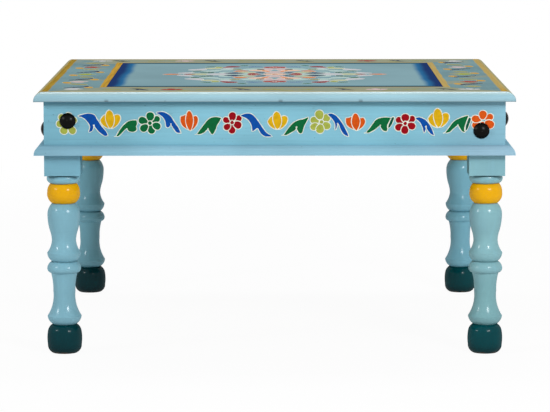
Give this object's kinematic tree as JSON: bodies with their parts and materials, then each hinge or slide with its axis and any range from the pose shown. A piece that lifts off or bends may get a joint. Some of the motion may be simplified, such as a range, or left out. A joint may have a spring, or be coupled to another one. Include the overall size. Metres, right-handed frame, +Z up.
{
  "type": "bajot low table",
  "caption": "Low square bajot table: bordered flat top, apron with base moulding, turned bolt-on legs, painted light blue with floral borders.",
  "frame": {"origin": "on the floor, under the middle of the table", "axes": "+Z up, front apron faces -Y, +X to the right seen from the front"},
  "size_m": [0.6, 0.6, 0.332],
  "materials": {
    "painted_border": "light blue gloss paint with a floral border between yellow bands",
    "painted_panel": "light blue gloss paint with a dark blue edge and a painted floral medallion",
    "painted_apron": "light blue gloss paint with a row of painted flowers and leaves",
    "painted_moulding": "light blue gloss paint",
    "painted_leg": "light blue gloss paint with a yellow ball and a dark green foot",
    "bare_wood": "planed, unpainted",
    "black_bolt": "black, semi-gloss",
    "zinc_hardware": "zinc plated",
    "zinc_screw": "zinc plated"
  },
  "bodies": {
    "root": {"top_border_front": "painted_border", "top_border_right": "painted_border", "top_border_back": "painted_border", "top_border_left": "painted_border", "top_panel": "painted_panel", "panel_batten_left": "bare_wood", "panel_batten_right": "bare_wood", "batten_screws": "zinc_screw", "apron_front": "painted_apron", "apron_right": "painted_apron", "apron_back": "painted_apron", "apron_left": "painted_apron", "base_moulding_front": "painted_moulding", "base_moulding_right": "painted_moulding", "base_moulding_back": "painted_moulding", "base_moulding_left": "painted_moulding", "apron_cleat_front": "bare_wood", "apron_cleat_right": "bare_wood", "apron_cleat_back": "bare_wood", "apron_cleat_left": "bare_wood", "moulding_pins": "zinc_screw", "cleat_screws": "zinc_screw", "leg_front_left": "painted_leg", "leg_front_right": "painted_leg", "leg_back_right": "painted_leg", "leg_back_left": "painted_leg", "leg_bolts": "black_bolt", "leg_bolt_washers": "zinc_hardware", "leg_bolt_nuts": "zinc_hardware"}
  },
  "joints": []
}
